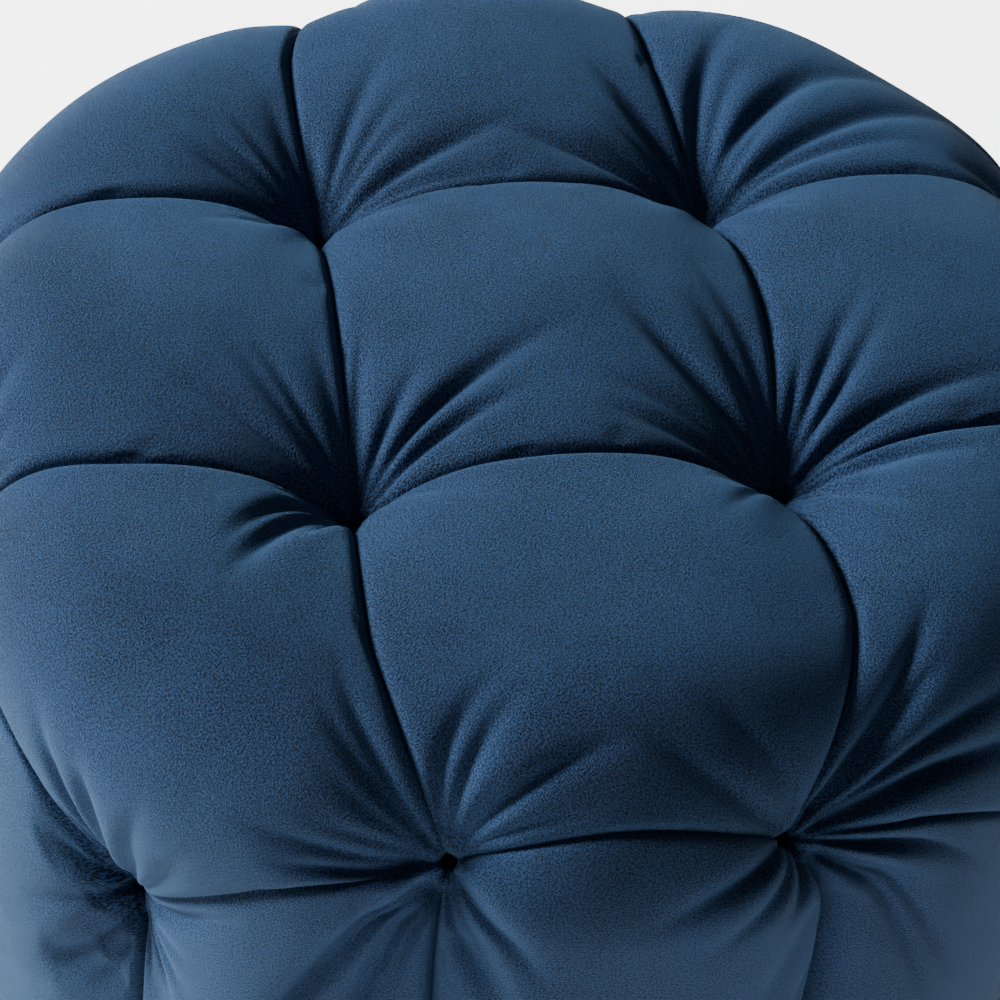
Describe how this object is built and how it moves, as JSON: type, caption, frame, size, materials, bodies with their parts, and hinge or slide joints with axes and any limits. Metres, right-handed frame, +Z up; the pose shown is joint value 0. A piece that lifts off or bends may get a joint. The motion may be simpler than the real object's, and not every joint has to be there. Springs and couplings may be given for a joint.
{
  "type": "round tufted pouf seat",
  "caption": "Round drum-shaped seat cushion with a deep-tufted velvet cover over foam and a hidden wooden frame.",
  "frame": {"origin": "on the floor under the centre of the drum, in the plane of the glides' feet", "axes": "+Z up along the drum's axis; X and Y run along the rows of the four middle tufts"},
  "size_m": [0.4522, 0.4522, 0.38],
  "materials": {
    "velvet": "navy blue cut-pile velvet, soft sheen",
    "button_velvet": "navy blue velvet drawn over a button",
    "polyester_fibre": "white bonded polyester fibre",
    "seat_foam": "cream polyurethane foam, cut",
    "side_foam": "grey-blue reconstituted foam, cut",
    "plywood": "sanded poplar plywood",
    "pine": "planed pine",
    "hardboard": "brown hardboard, smooth",
    "twine": "waxed polyester tufting twine",
    "toggle_wood": "turned birch",
    "button_metal": "pressed sheet",
    "screw_steel": "yellow zinc plate",
    "staple_steel": "galvanised wire",
    "dust_cloth": "black spun-bonded non-woven, embossed",
    "glide_plastic": "black moulded polyethylene"
  },
  "bodies": {
    "root": {"velvet_cover": "velvet", "button_covers": "button_velvet", "button_shells": "button_metal", "button_backs": "button_metal", "tufting_twine": "twine", "twine_toggles": "toggle_wood", "fibre_wrap": "polyester_fibre", "top_foam_pad": "seat_foam", "side_foam_band": "side_foam", "top_board": "plywood", "base_board": "plywood", "frame_posts": "pine", "side_hoop": "hardboard", "top_board_screws": "screw_steel", "base_board_screws": "screw_steel", "hoop_staples": "staple_steel", "cover_staples": "staple_steel", "dust_cover_staples": "staple_steel", "dust_cover": "dust_cloth", "glides": "glide_plastic", "glide_screws": "screw_steel"}
  },
  "joints": []
}
